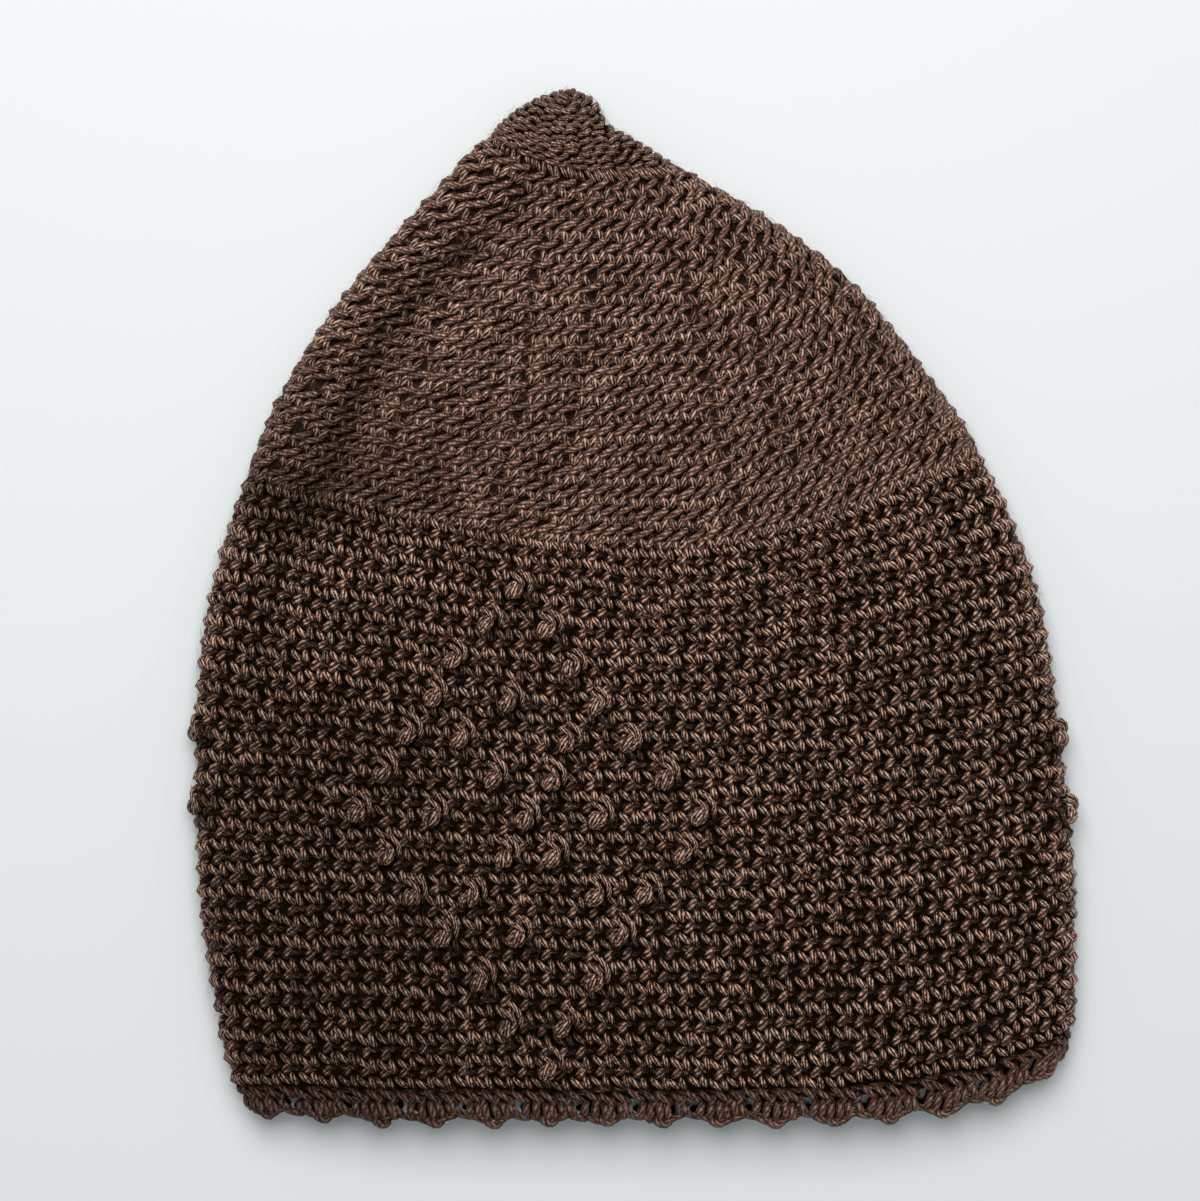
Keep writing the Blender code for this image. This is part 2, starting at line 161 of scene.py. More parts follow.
class Lie:
    """The outer face of the lying cap on a grid of ways and turns.

    Each ring: x runs between its ends, y rises from the lowest point to the ends by a power of the
    share of that distance, the front stands over the floor by the loft, the back lies on it, and
    half circles of the fold's height join them.  Points are spread evenly by length round the ring.
    """
    WAYS = 420
    TURNS = 1440
    FIRST_WAY, LAST_WAY = 0.004, 2.19
    FLAT_POINTS = 600       # across the front, and across the back, before they are spread evenly
    BOW_POINTS = 60         # round each fold

    def __init__(self):
        self.ways = np.linspace(self.FIRST_WAY, self.LAST_WAY, self.WAYS)
        row = rows_at(RINGS, self.ways)
        half = np.array([HALF_WIDTH, LENGTH] * 3)
        ends = row[:, :6] * half
        self.left_x, left_y, low_x, low_y, self.right_x, right_y = ends.T
        left_y, low_y, right_y = -left_y, -low_y, -right_y
        fold = row[:, 7] * FOLD
        loft = np.maximum(row[:, 6] * LOFT, fold)
        width = self.right_x - self.left_x
        turn = np.minimum(fold / 2, 0.45 * width)
        crease = rows_at(CREASE, self.ways)
        inset, depth = crease[:, 0] * CREASE_INSET, crease[:, 1] * CREASE_DEPTH
        col = [v[:, None] for v in (self.left_x, left_y, low_x, low_y, self.right_x, right_y,
                                    fold, loft, width, turn, inset, depth, row[:, 8], row[:, 9])]
        lx, ly, mx, my, rx, ry, fold, loft, width, turn, inset, depth, bend_l, bend_r = col

        def plan(x):
            end_x = np.where(x < mx, lx, rx)
            end_y = np.where(x < mx, ly, ry)
            bend = np.where(x < mx, bend_l, bend_r)
            share = np.clip(np.abs(x - mx) / np.maximum(np.abs(end_x - mx), 1e-9), 0, 1)
            return my + (end_y - my) * share ** bend

        def top(x):
            from_left = np.maximum(x - lx, 0)
            near = np.minimum(from_left, np.maximum(rx - x, 0))
            near = near / np.minimum(FILL_REACH, 0.5 * width)
            high = fold + (loft - fold) * (1 - (1 - np.minimum(near, 1)) ** 2)
            high = high - depth * np.exp(-((from_left - inset) / CREASE_WIDTH) ** 2)
            y = plan(x)
            for across, down, rise, wide in SWELLS:
                away = (x - across * HALF_WIDTH) ** 2 + (y + down * LENGTH) ** 2
                high = high + rise * SWELL_RISE * np.exp(-away / (wide * SWELL_REACH) ** 2)
            return high

        def round_fold(end, inwards):
            x = end + inwards * turn * (1 - np.cos(bow))
            lift = np.where(bow > 0, top(end + inwards * turn) - fold / 2, fold / 2)
            return x, plan(x), fold / 2 + lift * np.sin(bow)

        flat = np.linspace(0, 1, self.FLAT_POINTS)[None, :]
        bow = np.radians(np.linspace(90, -90, self.BOW_POINTS))[None, :]
        x = lx + turn + flat * (width - 2 * turn)
        front = (x, plan(x), top(x))
        x = rx - turn - flat * (width - 2 * turn)
        back = (x, plan(x), np.zeros_like(x))
        right = round_fold(rx, -1)
        left = [v[:, ::-1] for v in round_fold(lx, 1)]
        half = self.BOW_POINTS // 2
        loop = [[v[:, half:] for v in left], front, right, back, [v[:, :half] for v in left]]
        line = np.stack([np.concatenate([p[a] for p in loop], axis=1) for a in range(3)], axis=-1)
        step = np.linalg.norm(np.diff(line, axis=1, append=line[:, :1]), axis=-1)
        self.round = step.sum(axis=1)
        self.points = np.empty((self.WAYS, self.TURNS, 3))
        for i in range(self.WAYS):
            run = np.concatenate([[0], np.cumsum(step[i])])
            here = np.linspace(0, run[-1], self.TURNS, endpoint=False)
            closed = np.vstack([line[i], line[i, :1]])
            for a in range(3):
                self.points[i, :, a] = np.interp(here, run, closed[:, a])
        low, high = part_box("crown")
        across = self.points[self.ways <= 1.0, :, 0]
        middle = (low[0] + high[0]) / 2 - (across.min() + across.max()) / 2
        self.shift = np.array([middle, high[1], 0.0])
        self.points += self.shift
        self.measure()
        from_left = self.points[..., 0] - self.shift[0] - self.left_x[:, None]
        on_front = self.points[..., 2] > 0.3 * fold
        beside = np.exp(-((from_left - inset) / (0.8 * CREASE_WIDTH)) ** 2)
        self.hollow = (crease[:, 1:] * on_front * beside)[..., None]

    def measure(self):
        """Outward direction at every grid point: square to the two grid directions."""
        along = np.gradient(self.points, axis=0)
        across = np.roll(self.points, -2, axis=1) - np.roll(self.points, 2, axis=1)
        out = np.cross(along, across)
        out /= np.maximum(np.linalg.norm(out, axis=-1, keepdims=True), 1e-12)
        middle = out[len(out) // 2, self.TURNS // 3, 2]
        self.outward = out if middle > 0 else -out

    def read(self, grid, way, turn):
        """Value of a grid at ways and turns, straight between its four neighbours."""
        a = np.clip((way - self.ways[0]) / (self.ways[-1] - self.ways[0]), 0, 1) * (self.WAYS - 1.001)
        b = (turn % 1.0) * self.TURNS
        i, j = a.astype(int), b.astype(int) % self.TURNS
        k = (j + 1) % self.TURNS
        s, t = (a - i)[..., None], (b - np.floor(b))[..., None]
        return ((grid[i, j] * (1 - t) + grid[i, k] * t) * (1 - s)
                + (grid[i + 1, j] * (1 - t) + grid[i + 1, k] * t) * s)

    def at(self, way, turn, lift):
        """Place and outward direction of points that stand off the face by lift."""
        place = self.read(self.points, way, turn)
        out = self.read(self.outward, way, turn)
        out /= np.maximum(np.linalg.norm(out, axis=-1, keepdims=True), 1e-12)
        return place + out * np.asarray(lift)[..., None], out

    def length_round(self, way):
        """Length round the ring at a way."""
        return np.interp(way, self.ways, self.round)


LIE = Lie()


def photo_place(x, y):
    """Plan place of a dot of the photograph, in metres."""
    return np.array([(x - ORIGIN_DOT[0]) * PIXEL + LIE.shift[0], (ORIGIN_DOT[1] - y) * PIXEL + LIE.shift[1]])


def turn_at(way, x):
    """Turn of the place on the front that has this x, at this way."""
    turns = np.linspace(0.0, 0.5, 400)
    place = LIE.read(LIE.points, np.full(400, way), turns)
    return float(np.interp(x, place[:, 0], turns))


# Meshes


def put_mesh(name, points, faces_by_size, uv=None, marks=None):
    """Make a smooth mesh object from points (n, 3) and a list of (m, k) arrays of corners."""
    mesh = bpy.data.meshes.new(name)
    loops = np.concatenate([f.ravel() for f in faces_by_size]).astype(np.int32)
    sizes = np.concatenate([np.full(len(f), f.shape[1]) for f in faces_by_size]).astype(np.int32)
    starts = np.concatenate([[0], np.cumsum(sizes)[:-1]]).astype(np.int32)
    mesh.vertices.add(len(points))
    mesh.vertices.foreach_set("co", points.astype(np.float32).ravel())
    mesh.loops.add(len(loops))
    mesh.loops.foreach_set("vertex_index", loops)
    mesh.polygons.add(len(sizes))
    mesh.polygons.foreach_set("loop_start", starts)
    mesh.polygons.foreach_set("loop_total", sizes)
    mesh.update(calc_edges=True)
    if uv is not None:
        layer = mesh.uv_layers.new(name="yarn")
        layer.data.foreach_set("uv", uv.astype(np.float32).ravel())
    for mark, values in (marks or {}).items():
        layer = mesh.attributes.new(mark, "FLOAT", "POINT")
        layer.data.foreach_set("value", values.astype(np.float32))
    mesh.polygons.foreach_set("use_smooth", np.ones(len(sizes), bool))
    mesh.validate()
    piece = bpy.data.objects.new(name, mesh)
    bpy.context.scene.collection.objects.link(piece)
    return piece


YARN_SQUASH = 0.9       # height of the yarn as a share of its width
FLOOR_NEAR = 0.0004     # height under which yarn is pressed flat


def sweep(centre, out, radius, sides):
    """Yarn along many short paths at once.

    centre (n, k, 3) and out (n, k, 3): the path and the face's outward direction there.  A ring of
    the path is centre + radius (cos a across + YARN_SQUASH sin a up), where across is square to the
    path and to out, and up is square to both.  Returns points, quads, end faces and the quads' UVs
    (share round the yarn, millimetres along it).
    """
    n, k = centre.shape[:2]
    along = np.gradient(centre, axis=1)
    along /= np.maximum(np.linalg.norm(along, axis=-1, keepdims=True), 1e-12)
    across = np.cross(along, out)
    across /= np.maximum(np.linalg.norm(across, axis=-1, keepdims=True), 1e-12)
    up = np.cross(across, along)
    angle = 2 * np.pi * np.arange(sides) / sides
    r = np.broadcast_to(radius, (n, k))[:, :, None, None]
    ring = (centre[:, :, None]
            + r * (np.cos(angle)[None, None, :, None] * across[:, :, None]
                   + YARN_SQUASH * np.sin(angle)[None, None, :, None] * up[:, :, None]))
    base = (np.arange(n) * k * sides)[:, None, None]
    i = np.arange(k - 1)[None, :, None] * sides
    a = np.arange(sides)[None, None, :]
    b = (a + 1) % sides
    quads = np.stack([base + i + a, base + i + b, base + i + sides + b, base + i + sides + a], -1)
    quads = quads.reshape(-1, 4)
    order = np.arange(sides)
    first = base[:, 0] + order[::-1][None, :]
    last = base[:, 0] + (k - 1) * sides + order[None, :]
    steps = np.linalg.norm(np.diff(centre, axis=1), axis=-1)
    run = 1000 * np.concatenate([np.zeros((n, 1)), np.cumsum(steps, axis=1)], 1)
    u0 = np.broadcast_to(a / sides, (n, k - 1, sides))
    u1 = u0 + 1 / sides
    v0 = np.broadcast_to(run[:, :-1, None], u0.shape)
    v1 = np.broadcast_to(run[:, 1:, None], u0.shape)
    corners = ((u0, v0), (u1, v0), (u1, v1), (u0, v1))
    uv = np.stack([np.stack(corner, -1) for corner in corners], axis=-2)
    return ring.reshape(-1, 3), quads, np.concatenate([first, last]), uv.reshape(-1, 2)


def ease(value):
    """Smooth step from 0 to 1: t t (3 - 2 t), with t held between 0 and 1."""
    t = np.clip(value, 0, 1)
    return t * t * (3 - 2 * t)


def room_light(centre):
    """Light over the whole cap: 1.12 less a sum of smooth steps in u and v.

    u runs across from -1 to 1 and v down from 0 to 1.  Less light falls to the left beside the
    crown's roll and low on the wall, towards the mouth but for its right end, and on the crown's
    right side.
    """
    u = (centre[..., 0] - LIE.shift[0]) / HALF_WIDTH
    v = (LIE.shift[1] - centre[..., 1]) / LENGTH
    left = ease((0.1 - u) / 0.9)
    roll = ease((v - 0.2) / 0.2) - ease((v - 0.4) / 0.06)
    mouth = ease((v - 0.7) / 0.25) * (1 - ease(2 * u))
    right = ease((u - 0.1) / 0.5) * (1 - ease((v - 0.34) / 0.08))
    low_wall = ease((v - 0.49) / 0.17)
    return 1.12 - 0.14 * right - left * (0.58 * roll + 0.40 * low_wall) - 0.16 * mouth


class Skein:
    """Gathers yarn paths and makes one object of them."""

    def __init__(self, name, sides=5):
        self.name, self.sides = name, sides
        self.points, self.quads, self.caps, self.uvs, self.tones, self.opens = [], [], [], [], [], []
        self.count = 0

    def lay(self, centre, out, radius, tone, level, light=1.0):
        """Add paths (n, k, 3); tone is one value for each path, 0 dark to 1 light.

        level (n, k) is the height over the face in millimetres: yarn is marked open to the light
        by (height + 0.8) / 1.5, held between 0 and 1, times the light (n, k) that reaches it
        and the light of the room.  Yarn under FLOOR_NEAR is pressed flat on the floor.
        """
        points, quads, caps, uv = sweep(centre, out, radius, self.sides)
        z = points[:, 2]
        points[:, 2] = np.where(z < FLOOR_NEAR, 0.00005 + 0.1 * np.maximum(z, 0), z)
        self.points.append(points)
        self.quads.append(quads + self.count)
        self.caps.append(caps + self.count)
        self.uvs.append(uv)
        self.tones.append(np.repeat(np.broadcast_to(tone, (len(centre),)), len(points) // len(centre)))
        rise = YARN_SQUASH * np.sin(2 * np.pi * np.arange(self.sides) / self.sides)
        high = level[:, :, None] + 1000 * np.broadcast_to(radius, centre.shape[:2])[:, :, None] * rise
        light = (light * room_light(centre))[:, :, None]
        self.opens.append((np.clip((high + 0.8) / 1.5, 0, 1) * light).ravel())
        self.count += len(points)

    def finish(self, material):
        """Make the object: the quads keep their UVs, and those of the end faces are all 0."""
        caps = np.concatenate(self.caps)
        piece = put_mesh(self.name, np.concatenate(self.points), [np.concatenate(self.quads), caps],
                         uv=np.concatenate([*self.uvs, np.zeros((caps.size, 2))]),
                         marks={"tone": np.concatenate(self.tones), "open": np.concatenate(self.opens)})
        piece.data.materials.append(material)
        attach(piece, "root")


# Materials


def hex_colour(text):
    """An sRGB hex colour as a linear one."""
    srgb = np.array([int(text[i:i + 2], 16) / 255 for i in (1, 3, 5)])
    linear = np.where(srgb <= 0.04045, srgb / 12.92, ((srgb + 0.055) / 1.055) ** 2.4)
    return (*map(float, linear), 1.0)


# Patterns on Object coordinates, as counts in a metre.
FIBRE_LUMPS = 2600.0    # 0.4 mm each, coarser than real fibres so that they show
DYE_CLOUDS = 60.0       # 17 mm each
FABRIC_LUMPS = 700.0    # 1.4 mm each

PLIES = 6
WALL_TWIST, CROWN_TWIST = 12.0, 14.0    # millimetres in which a ply winds once round the yarn


def add_node(tree, kind, links=(), **settings):
    """Add a shader node, set its settings or input values, and link (input, source) pairs.

    A source is an output, or a node for its first output.
    """
    node = tree.nodes.new("ShaderNode" + kind)
    for key, value in settings.items():
        if key in node.inputs:
            node.inputs[key].default_value = value
        elif key.startswith("in_"):
            node.inputs[int(key[3:])].default_value = value
        else:
            setattr(node, key, value)
    for where, source in links:
        tree.links.new(getattr(source, "outputs", [source])[0], node.inputs[where])
    return node


def new_material(name, settings):
    """A material of one Principled shader with these input values, and its tree and shader."""
    material = bpy.data.materials.new(name)
    material.use_nodes = True
    shader = material.node_tree.nodes["Principled BSDF"]
    for key, value in settings.items():
        shader.inputs[key].default_value = value
    return material, material.node_tree, shader


def spun_yarn(name, light, middle, dark, twist=WALL_TWIST):
    """Mercerised spun yarn: smooth, twisted plies with painted highlights as short bright dashes.

    The plies are stripes that wind round the yarn once in `twist` millimetres: |sin(pi PLIES
    (share round + length / twist))|.  They are bumped and their grooves are darker, as painted shade;
    a fine noise gives the fibres, a broad one the dye, and one drawn out along the plies the flecks,
    which break the plies and their painted highlights into dashes.  The ramp runs from painted shade
    between the plies, through the plies in half light, to the painted highlights on their crests.
    """
    material, tree, shader = new_material(name, {
        "Roughness": 0.42, "IOR": 1.5, "Sheen Weight": 0.05, "Sheen Roughness": 0.4,
        "Sheen Tint": hex_colour("#d8b6a2")})
    parts = add_node(tree, "SeparateXYZ", [("Vector", add_node(tree, "UVMap", uv_map="yarn"))])
    turns = add_node(tree, "Math", [(0, parts.outputs["Y"])], operation="MULTIPLY", in_1=1.0 / twist)
    wound = add_node(tree, "Math", [(0, parts.outputs["X"]), (1, turns)], operation="ADD")
    phase = add_node(tree, "Math", [(0, wound)], operation="MULTIPLY", in_1=np.pi * PLIES)
    wave = add_node(tree, "Math", [(0, phase)], operation="SINE")
    ply = add_node(tree, "Math", [(0, wave)], operation="ABSOLUTE")
    grain = add_node(tree, "TexCoord").outputs["Object"]
    fibre = add_node(tree, "TexNoise", [("Vector", grain)], Scale=FIBRE_LUMPS, Detail=2.0)
    dye = add_node(tree, "TexNoise", [("Vector", grain)], Scale=DYE_CLOUDS, Detail=2.0)
    tone = add_node(tree, "Attribute", attribute_name="tone").outputs["Fac"]
    bold = add_node(tree, "Math", [(0, ply)], operation="POWER", in_1=2.6)
    soft = add_node(tree, "Math", [(0, ply)], operation="MULTIPLY_ADD", in_1=0.28, in_2=0.10)
    apart = add_node(tree, "Math", [(0, bold), (1, soft)], operation="SUBTRACT")
    more = add_node(tree, "Math", [(0, tone), (1, apart), (2, soft)], operation="MULTIPLY_ADD")
    lower = add_node(tree, "Math", [(0, more)], operation="SUBTRACT", in_1=0.33)
    fine = add_node(tree, "Math", [(0, fibre), (2, lower)], operation="MULTIPLY_ADD", in_1=0.78)
    place = add_node(tree, "CombineXYZ", [("X", phase), ("Y", parts.outputs["Y"]), ("Z", tone)])
    dash = add_node(tree, "VectorMath", [(0, place)], operation="MULTIPLY", in_1=(0.35, 1.6, 41.0))
    fleck = add_node(tree, "TexNoise", [("Vector", dash)], Scale=1.0, Detail=1.5)
    strong = add_node(tree, "Math", [(0, tone)], operation="MULTIPLY_ADD", in_1=1.7, in_2=1.15)
    even = add_node(tree, "Math", [(0, fleck)], operation="SUBTRACT", in_1=0.5)
    speck = add_node(tree, "Math", [(0, even), (1, strong), (2, fine)], operation="MULTIPLY_ADD")
    ramp = add_node(tree, "ValToRGB", [("Fac", speck)])
    for end, where, colour in zip(ramp.color_ramp.elements, (0.02, 0.86), (dark, light)):
        end.position = where
        end.color = hex_colour(colour)
    ramp.color_ramp.elements.new(0.50).color = hex_colour(middle)
    tint = add_node(tree, "MixRGB", [("Color1", ramp), ("Fac", dye)], blend_type="MULTIPLY",
                    Color2=hex_colour("#e6ddd8"))
    # Painted shade: the open mark mixes the colour towards the dark one where little light reaches the yarn,
    # and lowers the specular there.
    lit = add_node(tree, "Attribute", attribute_name="open").outputs["Fac"]
    shade = add_node(tree, "MixRGB", [("Color2", tint), ("Fac", lit)], Color1=hex_colour(dark))
    height = add_node(tree, "Math", [(0, ply), (1, fibre)], operation="ADD")
    bump = add_node(tree, "Bump", [("Height", height)], Strength=0.85, Distance=0.00022)
    tree.links.new(shade.outputs[0], shader.inputs["Base Color"])
    tree.links.new(bump.outputs["Normal"], shader.inputs["Normal"])
    gloss = add_node(tree, "Math", [(0, lit)], operation="MULTIPLY", in_1=0.5)
    tree.links.new(gloss.outputs[0], shader.inputs["Specular IOR Level"])
    return material


def inner_fabric(name, light, dark):
    """Matt wrong side of the crochet, dark because little light comes between the stitches."""
    material, tree, shader = new_material(name, {"Roughness": 0.9, "Specular IOR Level": 0.0})
    grain = add_node(tree, "TexCoord").outputs["Object"]
    noise = add_node(tree, "TexNoise", [("Vector", grain)], Scale=FABRIC_LUMPS, Detail=3.0)
    ramp = add_node(tree, "ValToRGB", [("Fac", noise)])
    for end, where, colour in zip(ramp.color_ramp.elements, (0.35, 0.75), (dark, light)):
        end.position = where
        end.color = hex_colour(colour)
    bump = add_node(tree, "Bump", [("Height", noise)], Strength=0.6, Distance=0.0005)
    tree.links.new(ramp.outputs["Color"], shader.inputs["Base Color"])
    tree.links.new(bump.outputs["Normal"], shader.inputs["Normal"])
    return material


def matt_floor(name):
    """Plain pale tabletop, matt, so that the cap's shadow is soft and nothing is mirrored."""
    return new_material(name, {"Base Color": hex_colour("#f0f3f3"), "Roughness": 0.6})[0]


# Stitches


def curve_through(knots, count):
    """Smooth path through evenly timed knots (m, d), read at count even times."""
    knots = np.asarray(knots, float)
    times = np.linspace(0, 1, len(knots))
    return cubic(times, knots, np.gradient(knots, times, axis=0), np.linspace(0, 1, count))


# Strands of a stitch: (across, down, lift) knots in stitch widths, round heights and millimetres
# over the face, then radius in millimetres and tone.  A wall stitch has a long leg, a short leg and
# a dim strand across; a crown stitch has a ridge, the two legs of a V and a strand that fills.
WALL_STITCH = (
    (((-0.02, 0.22, -2.0), (0.10, 0.37, -0.55), (0.28, 0.50, 0.10), (0.47, 0.64, -0.55), (0.58, 0.80, -2.0)),
     0.83, 0.88),
    (((0.66, 0.18, -2.0), (0.70, 0.34, -0.60), (0.76, 0.50, 0.05), (0.83, 0.67, -0.60), (0.87, 0.84, -2.0)),
     0.83, 0.85),
    (((0.34, 0.28, -2.0), (0.42, 0.15, -0.85), (0.54, 0.01, -0.30), (0.66, -0.13, -0.85),
      (0.75, -0.27, -2.0)), 1.12, 0.42),
)
WALL_FILLING = (
    (((-0.10, 1.02, -1.8), (0.28, 1.00, -1.15), (0.72, 0.96, -1.15), (1.10, 0.94, -1.8)), 0.95, 0.2),
)
CROWN_STITCH = (
    (((-0.12, 0.86, -1.2), (0.06, 0.68, -0.15), (0.50, 0.47, 0.35), (0.94, 0.26, -0.15), (1.12, 0.08, -1.2)),
     0.97, 0.20),
    (((0.10, 0.58, -1.5), (0.13, 0.74, -0.75), (0.24, 0.94, -0.28), (0.34, 1.14, -0.70), (0.38, 1.34, -1.4)),
     0.92, 1.0),
    (((0.94, 0.48, -1.5), (0.88, 0.66, -0.75), (0.76, 0.88, -0.28), (0.65, 1.10, -0.70), (0.60, 1.30, -1.4)),
     0.92, 1.0),
    (((-0.20, 1.00, -1.6), (0.00, 1.00, -1.10), (0.50, 0.98, -1.00), (1.00, 0.96, -1.10), (1.20, 0.94, -1.6)),
     1.00, 0.2),
)
NECK_STITCH = (
    (((-0.05, -0.10, -1.5), (0.10, 0.10, -0.55), (0.24, 0.45, -0.1), (0.40, 0.80, -0.55), (0.50, 1.00, -1.5)),
     0.62, 0.9),
    (((0.72, -0.10, -1.5), (0.70, 0.15, -0.55), (0.72, 0.50, -0.1), (0.78, 0.85, -0.55), (0.80, 1.10, -1.5)),
     0.62, 0.6),
)
TIP_STITCH = (
    (((-0.14, 0.40, -1.0), (0.08, 0.20, -0.15), (0.50, 0.00, 0.30), (0.92, -0.20, -0.15),
      (1.14, -0.40, -1.0)), 0.76, 0.25),
)


def thin_ends(count, share):
    """Thickness along a strand: 1, and a share of it at both ends."""
    return np.array([share] + [1.0] * (count - 2) + [share])


# How far a hand's stitches stray: across, down, up or down off the face, and in thickness.
STRAY = (0.06, 0.055, 0.10, 0.06)
FOLD_REACH = 0.014      # share of a round over which a fold rounds off


def lay_rounds(skein, strands, rounds, way_of, count_of, phase_of, seed, path_points=5, holes=None,
               bulge=0.0):
    """Lay one kind of stitch along whole rounds.

    A knot (across, down, lift) of stitch j in round r lies at way way_of(r + down) and turn
    (j + phase_of(r) + across) / count_of(r), off the face by lift.  At the folds each round
    swells and rounds off: with f = exp(-(d / FOLD_REACH)^2), d of a round from the fold, the
    lift gains bulge f cos(2 pi (down - 0.5)), a lift over -1 keeps 1 - 0.4 f of itself, and yarn
    with a bulge is 1 + 0.2 f as thick.  Rounds wander by two sines, at most 0.09 of a round.
    """
    dice = np.random.default_rng(seed)
    for r in rounds:
        n = int(count_of(r))
        j = np.arange(n)
        wobble = np.clip(dice.normal(0, 1, (n, 4)), -2, 2)
        for knots, radius, tone in strands:
            path = curve_through(knots, path_points)
            across = path[None, :, 0] + STRAY[0] * wobble[:, :1]
            down = path[None, :, 1] + STRAY[1] * wobble[:, 1:2]
            way = way_of(r + down)
            turn = (j[:, None] + phase_of(r) + across) / n
            fold = np.exp(-(((turn + 0.25) % 0.5 - 0.25) / FOLD_REACH) ** 2)
            rise = path[None, :, 2] * np.where(path[None, :, 2] > -1, 1 - 0.4 * fold, 1)
            level = rise + STRAY[2] * wobble[:, 2:3] + bulge * fold * np.cos(2 * np.pi * (down - 0.5))
            lift = level / 1000
            wander = 0.06 * np.sin(turn * 75 + 0.5 * r) + 0.03 * np.sin(turn * 131 - 0.7 * r)
            way = way + wander / CROWN_ROUNDS
            centre, out = LIE.at(way, turn, lift)
            if holes is not None:
                centre = part_at(centre, holes)
            thick = radius / 1000 * (1 + STRAY[3] * wobble[:, 3:4]) * (1 + 0.2 * fold * (bulge > 0))
            mottle = np.clip(tone * (0.8 + 0.2 * wobble[:, 3]), 0, 1)
            skein.lay(centre, out, thick * thin_ends(path_points, 0.55), mottle, lift * 1000,
                      shade_at(way, turn, centre))


# Lines of increases down the crown: (way, across in dots of the photograph) down each line, and
# the holes along the left roll as (across, down) dots.
INCREASE_LINES = (
    ((0.40, 596), (0.72, 571), (0.86, 563)),
    ((0.42, 684), (0.62, 703), (0.72, 712), (0.86, 727), (0.98, 748)),
    ((0.36, 538), (0.70, 520), (0.92, 493)),
    ((0.42, 740), (0.60, 757), (0.72, 766), (0.88, 796)),
    ((0.55, 838), (0.80, 902)),
    ((0.34, 470), (0.60, 430), (0.90, 380)),
)
INCREASE_HOLE, ROLL_HOLE = 0.0010, 0.0009
HOLE_DOWN = 0.86        # where an increase's hole lies in the height of its round
ROLL_HOLES = ((412, 235), (388, 270), (360, 305), (337, 343), (315, 383), (296, 427), (275, 470))


def increase_holes():
    """Plan places and sizes of the small holes that the increases leave in the crown."""
    found = []
    for line in INCREASE_LINES:
        line = np.array(line, float)
        for r in range(int(line[0, 0] * CROWN_ROUNDS), int(line[-1, 0] * CROWN_ROUNDS)):
            way = (r + HOLE_DOWN) / CROWN_ROUNDS
            x = photo_place(np.interp(way, line[:, 0], line[:, 1]), 0)[0]
            place = LIE.read(LIE.points, np.array([way]), np.array([turn_at(way, x)]))[0]
            found.append((*place[:2], INCREASE_HOLE))
    return np.array(found + [(*photo_place(x, y), ROLL_HOLE) for x, y in ROLL_HOLES])


HIGH_YARN, LOW_YARN = 0.006, 0.004      # heights over which yarn is on the front, parted or shaded


def part_at(centre, holes):
    """Push yarn of the front away from the holes and down round them, both by exp(-(d / reach)^2)."""
    shape = centre.shape
    flat = centre.reshape(-1, 3).copy()
    top = flat[:, 2] > HIGH_YARN
    plan = flat[top][:, :2]
    push = np.zeros_like(plan)
    sink = np.zeros(len(plan))
    for x, y, size in holes:
        away = plan - (x, y)
        d = np.linalg.norm(away, axis=1)
        reach = 0.0014 + size
        fall = np.exp(-(d / reach) ** 2)
        push += away / np.maximum(d, 1e-6)[:, None] * (size * fall)[:, None]
        sink += 0.8 * size * fall
    flat[top, :2] = plan + push
    flat[top, 2] -= sink
    return flat.reshape(shape)


def places_on(ways, turns):
    """Local frames at places: point, direction across, direction down and outward direction."""
    ways, turns = np.asarray(ways, float), np.asarray(turns, float)
    point, out = LIE.at(ways, turns, 0.0)
    below, above = LIE.at(ways + 0.01, turns, 0.0)[0], LIE.at(ways - 0.01, turns, 0.0)[0]
    beside = LIE.at(ways, turns + 0.002, 0.0)[0]
    across = np.cross(below - above, out)
    across *= np.sign(np.sum(across * (beside - point), -1))[:, None]
    across /= np.linalg.norm(across, axis=-1, keepdims=True)
    down = np.cross(out, across)
    down *= np.sign(np.sum(down * (below - point), -1))[:, None]
    return point, across, down, out


def lay_local(skein, places, paths, radius, tone, hollow):
    """Lay one path (k, 3) at each of many places: across, down and lift in millimetres.

    The yarn's outward direction points away from a middle `hollow` millimetres under the place.
    """
    point, across, down, out = places
    path = paths / 1000
    centre = (point[:, None] + path[..., :1] * across[:, None] + path[..., 1:2] * down[:, None]
              + path[..., 2:3] * out[:, None])
    aim = (path[..., :1] * across[:, None] + path[..., 1:2] * down[:, None]
           + (path[..., 2:3] + hollow / 1000) * out[:, None])
    aim /= np.linalg.norm(aim, axis=-1, keepdims=True)
    skein.lay(centre, aim, radius / 1000 * thin_ends(path.shape[1], 0.6), tone,
              np.minimum(path[..., 2] * 1000, 0.0) - 0.15)


def bobble_places():
    """Ways and turns of all bobbles: the diamond's rows, then those on the folds."""
    ways, turns = [], []
    rows = len(DIAMOND) - 1
    for number, offsets in enumerate(DIAMOND):
        share = number / rows
        middle = DIAMOND_TOP[0] + (DIAMOND_FOOT[0] - DIAMOND_TOP[0]) * share
        way = DIAMOND_TOP[1] + (DIAMOND_FOOT[1] - DIAMOND_TOP[1]) * share
        for stitches in offsets:
            ways.append(way)
            turns.append(turn_at(way, middle * HALF_WIDTH + stitches * WALL_STITCH_WIDTH + LIE.shift[0]))
    for turn, way in FOLD_BOBBLES:
        ways.append(way)
        turns.append(turn)
    return np.array(ways), np.array(turns)


def dark_places():
    """Where little light falls: x, y, reach and depth, about each bobble and in each hole."""
    ways, turns = bobble_places()
    feet = LIE.at(ways, turns, 0.0)[0][:, :2] + (0.0004, -0.0014)
    about = [(x, y, 0.0043, 0.88) for x, y in feet]
    return np.array(about + [(x, y, 0.0006 + 1.1 * size, 0.85) for x, y, size in increase_holes()])


DARK_PLACES = dark_places()


